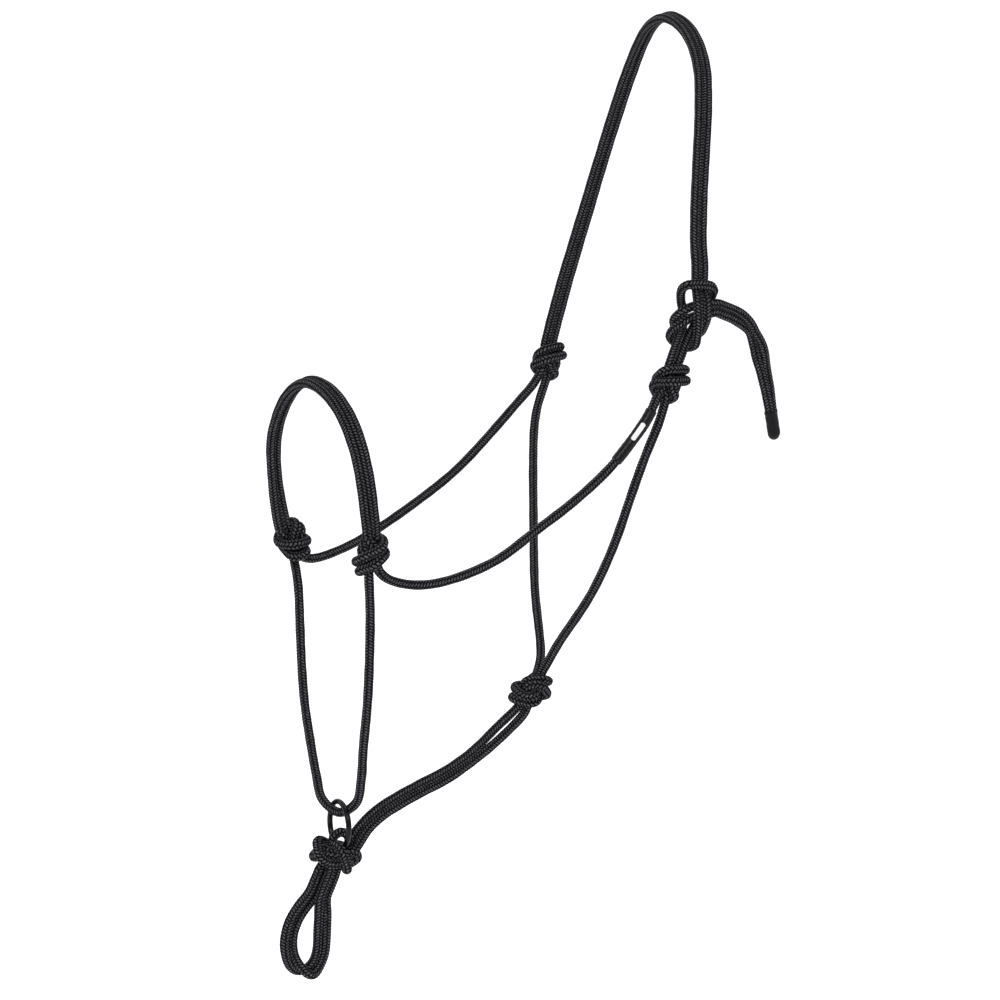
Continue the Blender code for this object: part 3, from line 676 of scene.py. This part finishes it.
def overhand_pair(ports, phi, turn, mirror):
    """Two strands side by side through a loose overhand knot, from above to below.

    phi is the angle of the pair above, and turn the angle of the knot, both about its axis.
    """
    t = np.linspace(-1.95, 1.95, 600)
    x, y, z = (t**3 - 3 * t) * 0.55, (t**4 - 4 * t**2 + 2) * 0.45, (t**5 - 10 * t) * 0.2
    loop = np.column_stack([x, y, z]) * OVERHAND_SCALE
    if mirror:
        loop[:, 0] *= -1
    if loop[0, 2] < loop[-1, 2]:
        loop = loop[::-1]
    c, s = math.cos(turn), math.sin(turn)
    loop = loop @ np.array([[c, s, 0], [-s, c, 0], [0, 0, 1]])
    end = np.array([0.0, 0.0, abs(loop[0, 2]) + 2.0])
    step = np.array([0.0, 0.0, 2.0])
    path = np.vstack([end + step, end, loop, -end, -end - step])
    path = resampled(relaxed(resampled(path, 400), 60), 500)
    along = directions(path)
    side = carried((math.cos(phi + turn), math.sin(phi + turn), 0.0), along)
    other = np.cross(along, side)
    ends = []
    for level, at in ((0, 0), (1, -1)):
        wanted = np.array([*np.subtract(ports[0][level], ports[1][level]), 0.0])
        wanted /= np.linalg.norm(wanted)
        ends.append(math.atan2(np.dot(wanted, other[at]), np.dot(wanted, side[at])))
    place = np.linspace(0.0, 1.0, len(path))
    eases = [np.clip(1 - place / TURN_IN, 0, 1), np.clip((place - (1 - TURN_IN)) / TURN_IN, 0, 1)]
    angle = sum(a * e * e * (3 - 2 * e) for a, e in zip(ends, eases))[:, None]
    offset = (np.cos(angle) * side + np.sin(angle) * other) * OVERHAND_HALF
    return [path + offset, path - offset]


def fiador_strands():
    """Four strands through a loose diamond knot, from above to below, each a quarter turn on."""
    # radius, angle in degrees and height along one strand, from below to above
    guide = [
        (0.72, 0, -9.0), (0.72, 0, -3.6), (0.75, 0, -1.8), (0.85, 2, 0.2), (1.25, 6, 1.7), (2.0, 10, 1.9),
        (2.6, 18, 0.8), (2.9, 38, -0.8), (3.2, 68, -1.5), (3.4, 98, -1.4), (3.0, 130, -0.9), (2.2, 158, -0.3),
        (1.65, 182, 0.2), (1.5, 212, 1.2), (1.2, 240, 2.4), (0.8, 262, 3.6), (0.72, 270, 4.8),
        (0.72, 270, 14.0),
    ]
    strands = []
    for quarter in range(4):
        points = []
        for r, degrees, z in guide:
            angle = math.radians(degrees + 90 * quarter) + FIADOR_SPIN
            lobe = min(1, max(0, (r - 0.75) / 0.5))
            r *= 1 + (FIADOR_WIDE - 1) * lobe
            if -4 < z < 5:  # its two far ends stay
                z = z * FIADOR_TALL + FIADOR_RISE
            points.append((r * math.cos(angle), r * math.sin(angle), z))
        strands.append(relaxed(resampled(np.array(points), 160), 25)[::-1])
    return strands


def knot_strands(name, loose, ports, lift=0.0, **settings):
    """The tightened strands of a knot in metres, each from its port above to its port below.

    lift moves the knot up along its axis after tightening, in rope diameters.
    """
    centre, _, half = KNOTS[name]
    cut = (half + GAP) / ROPE_D
    axes = knot_axes(name)
    made = []
    for strand, (above, below) in zip(tighten(loose, ports, half / ROPE_D, **settings), ports):
        strand = strand + np.array([0.0, 0.0, lift])
        first, last = 0, len(strand) - 1
        while strand[first, 2] > cut - 0.1:
            first += 1
        while strand[last, 2] < -cut + 0.1:
            last -= 1
        local = np.vstack([(*above, cut), strand[first : last + 1], (*below, -cut)])
        made.append(np.array(centre) + smooth(local, 8) @ axes * ROPE_D)
    return made


def in_diameters(point):
    return tuple(value / ROPE_D for value in point)


def tie_knots():
    """Each knot's strands. A pair's first is the front one above, at the throat knot the near one."""
    pair = PAIR_PITCH / 2 / ROPE_D
    near, far = (
        (((-pair, 0.0), in_diameters(CHIN_FEET[side])), ((pair, 0.0), in_diameters(CHEEK_FEET[side])))
        for side in ("near", "far")
    )
    foot = CHEEK_KNOT_FOOT / ROPE_D
    cheek = (((-pair, 0.0), (-foot, 0.0)), ((pair, 0.0), (foot, 0.0)))
    throat = (((0.0, -pair), (pair, 0.0)), ((0.0, pair), (-pair, 0.0)))
    quarter = math.pi / 2
    plan = {
        "nose_knot_far": (far, 0.0, math.radians(60), False),
        "nose_knot_near": (near, quarter, math.radians(190), True),
        "cheek_knot_far": (cheek, quarter, math.radians(120), True),
        "cheek_knot_near": (cheek, quarter, math.radians(135), True),
        "throat_knot": (throat, quarter, math.radians(350), False),
    }
    knots = {
        name: knot_strands(name, overhand_pair(ports, phi, turn, mirror), ports)
        for name, (ports, phi, turn, mirror) in plan.items()
    }
    apart = FIADOR_SPREAD * PAIR_PITCH / 2
    above = [(FIADOR_ENTRY, -apart), (BIGHT_FEET[1], 0.0), (FIADOR_ENTRY, apart), (BIGHT_FEET[0], 0.0)]
    below = [LEAD_REAR_FEET[1], LEAD_REAR_FEET[0], LEAD_FRONT_FEET[0], LEAD_FRONT_FEET[1]]
    ports = [(in_diameters(top), in_diameters(foot)) for top, foot in zip(above, below)]
    knots["fiador_knot"] = knot_strands(
        "fiador_knot", fiador_strands(), ports, stages=FIADOR_STAGES, pull=(0.03, 0.01), lift=FIADOR_LIFT
    )
    return knots


# ---------- braided rope ----------

def stitch_pattern(run, turns):
    """Height of the braid's surface, and the place on its yarn: across it, along it and which yarn."""
    a = (run / LEAD + turns) * YARNS
    b = (run / LEAD - turns) * YARNS
    i, j = np.floor(a), np.floor(b)
    cell = np.mod(i - j, 4)
    right_over = cell < 2
    across = np.where(right_over, a - i, b - j)
    through = np.where(right_over, (1 - cell + b - j) / 2, (cell - 2 + a - i) / 2)
    which = np.where(right_over, np.mod(i, YARNS), YARNS + np.mod(j, YARNS))
    crown = np.sqrt(np.clip(1 - 0.92 * (2 * across - 1) ** 2, 0, 1))
    arch = np.clip(np.sin(math.pi * np.clip(through, 0, 1)), 0, 1) ** 0.45
    return crown * (0.25 + 0.75 * arch), across, through, which


def tube_grid(shape, closed_ring=False):
    """Faces of a tube from a grid of vertices, rings by sides. A closed ring's end meets its start."""
    count, sides = shape
    first = np.arange(count if closed_ring else count - 1)[:, None] * sides
    second = (np.arange(len(first)) + 1)[:, None] % count * sides
    side = np.arange(sides)[None]
    after = (side + 1) % sides
    return np.stack([first + side, first + after, second + after, second + side], axis=2).reshape(-1, 4)


def add_data(mesh, name, kind, field, values):
    data = mesh.attributes.new(name, kind, "POINT").data
    data.foreach_set(field, np.asarray(values, np.float32).reshape(-1))


class RopePiece:
    """Vertices, faces and surface data gathered for one piece."""

    def __init__(self):
        self.verts, self.quads, self.relief, self.yarn, self.paths = [], [], [], [], []
        self.caps, self.count = [], 0

    def add(self, centres, run, side, other, seed):
        turns = np.arange(SIDES)[None] / SIDES
        height, across, through, which = stitch_pattern(run[:, None], turns)
        angle = 2 * math.pi * turns
        quick, slow = WANDER_WAVES
        uneven = WANDER * (np.sin(run * quick + seed) + np.sin(run * slow + 2 * seed))[:, None]
        radius = CORE_R + RELIEF * height + uneven
        out = np.cos(angle)[..., None] * side[:, None] + np.sin(angle)[..., None] * other[:, None]
        points = centres[:, None] + out * radius[..., None]
        self.verts.append(points.reshape(-1, 3))
        self.quads.append(tube_grid((len(centres), SIDES)) + self.count)
        last = self.count + (len(centres) - 1) * SIDES
        self.caps += [list(range(self.count, self.count + SIDES))[::-1], list(range(last, last + SIDES))]
        self.relief.append(height.reshape(-1))
        along = through * 2 + run[:, None] / PITCH * 0.37
        self.yarn.append(np.stack([across, along, which + 0 * across], axis=2).reshape(-1, 3))
        self.paths.append(centres)
        self.count += points.shape[0] * SIDES

    def build(self, name):
        verts = np.vstack(self.verts)
        quads = np.vstack(self.quads)
        mesh = bpy.data.meshes.new(name)
        corners = np.concatenate([quads.reshape(-1), np.array(self.caps).reshape(-1)])
        mesh.vertices.add(len(verts))
        mesh.loops.add(len(corners))
        mesh.polygons.add(len(quads) + len(self.caps))
        mesh.vertices.foreach_set("co", verts.astype(np.float32).reshape(-1))
        mesh.loops.foreach_set("vertex_index", corners.astype(np.int32))
        starts = np.concatenate([np.arange(len(quads)) * 4, quads.size + np.arange(len(self.caps)) * SIDES])
        mesh.polygons.foreach_set("loop_start", starts.astype(np.int32))
        mesh.update(calc_edges=True)
        mesh.validate()
        mesh.shade_smooth()
        add_data(mesh, "relief", "FLOAT", "value", np.concatenate(self.relief))
        add_data(mesh, "yarn", "FLOAT_VECTOR", "vector", np.vstack(self.yarn))
        return add_object(name, mesh)


def lay_rope(stretches, pieces, seed):
    """One rope through several pieces in turn: its braid runs on from each into the next.

    stretches is a list of (piece name, points), each starting where the one before it ends.
    """
    centres, spans = [], []
    at = 0
    for name, points in stretches:
        fine = resampled(points, max(4, round(run_of(points)[-1] / RING_STEP) + 1))
        if centres:
            fine = fine[1:]
        spans.append((name, max(at - 1, 0), at + len(fine)))
        centres.append(fine)
        at += len(fine)
    line = relaxed(np.vstack(centres), 6)
    run = run_of(line)
    side, other = turning_frames(line)
    for name, start, stop in spans:
        part = slice(start, stop)
        pieces.setdefault(name, RopePiece()).add(line[part], run[part], side[part], other[part], seed)


def face_strands():
    """The noseband, chin strand, cheek strands and throat strands, by node name."""
    strands = {}
    strands["noseband_strand_rear"], strands["noseband_strand_front"] = pair_of(
        knot_end("nose_knot_far", 1) + NOSEBAND + knot_end("nose_knot_near", 1)[::-1],
        [knot_fore("nose_knot_far")] * 2 + NOSEBAND_ACROSS + [knot_fore("nose_knot_near")] * 2,
    )
    start, end = (knot_end(f"nose_knot_{side}", -1, CHIN_FEET[side]) for side in ("far", "near"))
    strands["chin_strand"] = smooth(start + CHIN + end[::-1])
    sides = (("near", CHEEK_NEAR, THROAT_NEAR, -1), ("far", CHEEK_FAR, THROAT_FAR, 1))
    for side, cheek, throat, lean in sides:
        start = knot_end(f"nose_knot_{side}", -1, CHEEK_FEET[side])
        end = knot_end(f"cheek_knot_{side}", -1, (-CHEEK_KNOT_FOOT, 0.0))
        strands[f"cheek_strand_{side}"] = eased(smooth(start + cheek + end[::-1]), LONG_EASE)
        start = knot_end(f"cheek_knot_{side}", -1, (CHEEK_KNOT_FOOT, 0.0))
        end = knot_end("throat_knot", 1, (0.0, lean * PAIR_PITCH / 2))
        strands[f"throat_strand_{side}"] = eased(smooth(start + throat + end[::-1]), LONG_EASE)
    return strands


def fiador_and_loops():
    """The fiador pair, the ring's bight and the lead loop, by node name."""
    strands = {}
    back = tuple(-value for value in knot_fore("throat_knot"))
    end = knot_end("fiador_knot", 1, (FIADOR_ENTRY, 0.0))
    strands["fiador_strand_upper"], strands["fiador_strand_lower"] = pair_of(
        knot_end("throat_knot", -1) + FIADOR + end[:1],
        [back, back] + FIADOR_ACROSS + [(0.0, 1.0, 0.0)],
        [1.0, *FIADOR_SLIT] + [1.0] * (len(FIADOR) - 2) + [FIADOR_SPREAD] * 2,
    )
    left, right = (knot_end("fiador_knot", 1, (foot, 0.0)) for foot in BIGHT_FEET)
    strands["ring_bight"] = smooth(left + BIGHT + right[::-1])
    for place, feet, route in (("front", LEAD_FRONT_FEET, LEAD_FRONT), ("rear", LEAD_REAR_FEET, LEAD_REAR)):
        start, end = (knot_end("fiador_knot", -1, foot, LOOP_FLEX) for foot in feet)
        first, last = (knot_end("fiador_knot", -1, foot)[0] for foot in feet)
        loop = eased(smooth(start + route + end[::-1]), LOOP_EASE)
        strands[f"lead_loop_strand_{place}"] = np.vstack([first, loop, last])
    return strands


def crown_and_tie():
    """The crown pair, the eye, the pair's turns through the eye and its hanging ends, by node name."""
    x, y, z = TIE_TOP
    crown = pair_of(
        knot_end("cheek_knot_far", 1) + CROWN + [(x, y, z + KNOT_LEAD), (x, y, z + GAP)],
        [knot_fore("cheek_knot_far")] * 2 + CROWN_ACROSS + [(1.0, 0.0, 0.0)] * 2,
    )
    left, right = (knot_end("cheek_knot_near", 1, (side * PAIR_PITCH / 2, 0.0)) for side in (-1, 1))
    eye = smooth(left + EYE + right[::-1])
    exit_x, exit_y, exit_z = TAIL_EXIT
    start = (exit_x + TAIL_FLEX / 2, exit_y, exit_z)
    after = (start[0] + KNOT_LEAD, exit_y, exit_z)
    tail = pair_of([start, after] + TAIL + [TAIL_CAP_TOP], [(0.0, 0.0, 1.0)] * 2 + TAIL_ACROSS)
    held = HELD * ROPE_D
    leg = EYE_LEG * run_of(eye)[-1]
    eye_parts = (stretch(eye, 0.0, leg), stretch(eye, leg, -leg), stretch(eye, -leg, None))
    to_draw = [eye_parts]
    strands = {}
    for place, route, side in (("front", TURN_FRONT, -1), ("rear", TURN_REAR, 1)):
        above, below = (pair[0 if place == "rear" else 1] for pair in (crown, tail))
        first = (x + side * PAIR_PITCH / 2, y, z)
        last = (exit_x - TAIL_FLEX / 2, exit_y, route[-1][2])
        turn = smooth([first] + route + [last])
        below = np.vstack([turn[-1:], below])
        strands[f"crown_strand_{place}"] = above
        strands[f"tail_strand_{place}"] = below
        to_draw.append((stretch(above, -held, None), turn, stretch(below, 0.0, held)))
    core, strands["tie_turn_front"], strands["tie_turn_rear"] = draw_up(to_draw, EYE_AND_TURN_PULL)
    strands["eye_loop"] = np.vstack([eye_parts[0][:-1], core, eye_parts[2][1:]])
    return strands


# The order in which each rope goes through the halter. A strand has 1 when the rope runs the same way as its
# route, otherwise -1; a knot has the number of its strand, and 1 for downwards or -1 for upwards.
LONG_ROPE = [
    ("tail_strand_rear", -1), ("tie_turn_rear", -1), ("crown_strand_rear", -1), ("cheek_knot_far", 1, 1),
    ("throat_strand_far", 1), ("throat_knot", 1, 1), ("fiador_strand_upper", 1), ("fiador_knot", 2, 1),
    ("lead_loop_strand_front", 1), ("fiador_knot", 3, -1), ("ring_bight", 1), ("fiador_knot", 1, 1),
    ("lead_loop_strand_rear", 1), ("fiador_knot", 0, -1), ("fiador_strand_lower", -1),
    ("throat_knot", 0, -1), ("throat_strand_near", -1), ("cheek_knot_near", 1, -1), ("eye_loop", -1),
    ("cheek_knot_near", 0, 1), ("cheek_strand_near", -1), ("nose_knot_near", 1, -1),
    ("noseband_strand_rear", -1), ("nose_knot_far", 1, 1), ("cheek_strand_far", 1), ("cheek_knot_far", 0, -1),
    ("crown_strand_front", 1), ("tie_turn_front", 1), ("tail_strand_front", 1),
]
NOSE_ROPE = [
    ("nose_knot_far", 0, 1), ("chin_strand", 1), ("nose_knot_near", 0, -1), ("noseband_strand_front", -1),
]


def lay_all_rope(pieces):
    """Both ropes, each laid through its strands and knots in the order that it was tied."""
    knots = tie_knots()
    strands = {**face_strands(), **fiador_and_loops(), **crown_and_tie()}
    for seed, order in ((1.0, LONG_ROPE), (2.0, NOSE_ROPE)):
        stretches = []
        for name, *number, way in order:
            if name in knots:
                stretches.append((f"{name}_tied", knots[name][number[0]][::way]))
            else:
                stretches.append((f"{name}_braid", strands[name][::way]))
        lay_rope(stretches, pieces, seed)


# ---------- fittings ----------

def add_mesh(name, verts, faces, material):
    mesh = bpy.data.meshes.new(name)
    mesh.from_pydata([tuple(v) for v in verts], [], [tuple(int(i) for i in face) for face in faces])
    mesh.shade_smooth()
    mesh.materials.append(material)
    return add_object(name, mesh)


def add_ring(material):
    """The welded steel ring, with a low bead where its ends meet."""
    count, sides = 192, 40
    points = []
    for i in range(count):
        angle = 2 * math.pi * i / count
        wire = RING_WIRE_R + RING_BEAD * math.exp(-(((angle - RING_WELD) / RING_BEAD_ARC) ** 2))
        for k in range(sides):
            turn = 2 * math.pi * k / sides
            reach = RING_R + wire * math.cos(turn)
            place = Vector((wire * math.sin(turn), reach * math.cos(angle), reach * math.sin(angle)))
            points.append(Vector(RING_CENTRE) + place)
    return add_mesh("chin_ring_steel", points, tube_grid((count, sides), True)[:, ::-1], material)


def add_sleeve(path, material):
    """The shrunk sleeve round the cheek strand: an open tube with rolled ends, uneven over the braid."""
    run = run_of(path)
    count, sides = 110, 56
    at = np.linspace(SLEEVE_FROM, SLEEVE_TO, count)
    middle = relaxed(np.column_stack([np.interp(at, run, column) for column in path.T]), 10)
    side, other = turning_frames(middle)
    outer = ROPE_D / 2 + GAP + SLEEVE_WALL
    verts, print_place = [], []
    for outside in (True, False):
        order = range(count) if outside else range(count - 1, -1, -1)
        for i in order:
            from_end = min(at[i] - SLEEVE_FROM, SLEEVE_TO - at[i])
            roll = math.sqrt(1 - (1 - min(from_end / SLEEVE_ROLL, 1.0)) ** 2)
            wall = (outer - SLEEVE_INSIDE) * (0.35 + 0.65 * roll)
            front = math.atan2(np.dot(SLEEVE_FACE, other[i]), np.dot(SLEEVE_FACE, side[i]))
            slow = 0.00006 * math.sin(at[i] * 310)
            for k in range(sides):
                turn = 2 * math.pi * k / sides
                swell = 0.00005 * math.sin(at[i] / PITCH * math.pi + 4 * turn) + slow
                radius = SLEEVE_INSIDE + wall + swell if outside else SLEEVE_INSIDE
                out = math.cos(turn) * side[i] + math.sin(turn) * other[i]
                verts.append(middle[i] + out * radius)
                arc = math.remainder(turn - front, 2 * math.pi) * outer
                print_place.append((at[i] - (SLEEVE_FROM + SLEEVE_TO) / 2, arc if outside else 1.0, 0.0))
    sleeve = add_mesh("label_sleeve_shrunk", verts, tube_grid((2 * count, sides), True), material)
    add_data(sleeve.data, "print_place", "FLOAT_VECTOR", "vector", print_place)
    return sleeve


def add_cap(material):
    """The shrunk cap: it grips the two strands at its top and rounds off to an oval end."""
    top, end = Vector(TAIL_CAP_TOP), Vector(TAIL_CAP_END)
    down = (end - top).normalized()
    side = Vector(TAIL_ACROSS[-1])
    side = (side - down * side.dot(down)).normalized()
    front = down.cross(side)
    rows, sides = 60, 56
    half_width, half_depth = CAP_WIDTH / 2, CAP_DEPTH / 2
    verts = []
    for i in range(rows):
        share = i / (rows - 1)
        depth = -CAP_OVERLAP + (CAP_LENGTH + CAP_OVERLAP) * math.sin(share * math.pi / 2) ** 0.85
        from_end = CAP_LENGTH - depth
        rounding = math.sqrt(max(0.0, 1 - max(0.0, 1 - from_end / CAP_ROUND) ** 2))
        lip = CAP_LIP * math.exp(-(((depth + 0.0018) / 0.0009) ** 2))
        grip = math.exp(-max(0.0, depth) / 0.005)
        for k in range(sides):
            turn = 2 * math.pi * k / sides
            waist = 1 - 0.10 * grip * math.exp(-((math.cos(turn) / 0.32) ** 2))
            x = (half_width + 0.00015 * grip + lip) * math.cos(turn) * max(rounding, 0.02)
            y = (half_depth + lip) * math.sin(turn) * waist * max(rounding, 0.02)
            dent = 1 + 0.012 * math.sin(depth * 900 + 3 * turn) + 0.008 * math.sin(depth * 2100 - 2 * turn)
            verts.append(top + down * depth + side * (x * dent) + front * (y * dent))
    faces = [*tube_grid((rows, sides)), range(sides)[::-1], range((rows - 1) * sides, rows * sides)]
    return add_mesh("tail_cap_shrunk", verts, faces, material)


# ---------- making ----------

add_camera()
add_studio()

# The rope first
rope_pieces = {}
lay_all_rope(rope_pieces)
braided = rope_finish()
made = {}
for name, gathered in rope_pieces.items():
    made[name] = gathered.build(name)
    made[name].data.materials.append(braided)
    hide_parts(name.rsplit("_", 1)[0])

cap = add_cap(cap_finish())
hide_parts("tail_cap")
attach(cap, "tail")
ring = add_ring(ring_finish())
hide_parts("chin_ring")
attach(ring, "ring")
sleeve = add_sleeve(rope_pieces["cheek_strand_near_braid"].paths[0], sleeve_finish())
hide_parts("label_sleeve")
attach(sleeve, "root")
add_cove()

# What swings is not attached to a body and has its transform baked into its mesh; the rest goes on the root
# body
for name, piece in made.items():
    if name.startswith("lead_loop"):
        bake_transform(piece)
    elif name.startswith("tail_strand"):
        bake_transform(piece)
    else:
        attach(piece, "root")

# The strands that hang free between knots, and the centre line of each
FREE_STRANDS = [
    "noseband_strand_rear", "noseband_strand_front", "chin_strand", "cheek_strand_near", "cheek_strand_far",
    "throat_strand_near", "throat_strand_far", "fiador_strand_upper", "fiador_strand_lower",
    "crown_strand_rear", "crown_strand_front", "lead_loop_strand_front", "lead_loop_strand_rear",
    "tail_strand_rear", "tail_strand_front",
]
for node in FREE_STRANDS:
    path = rope_pieces[f"{node}_braid"].paths[0]
    if node == "tail_strand_rear":  # the only one that is laid towards its knot
        path = path[::-1]
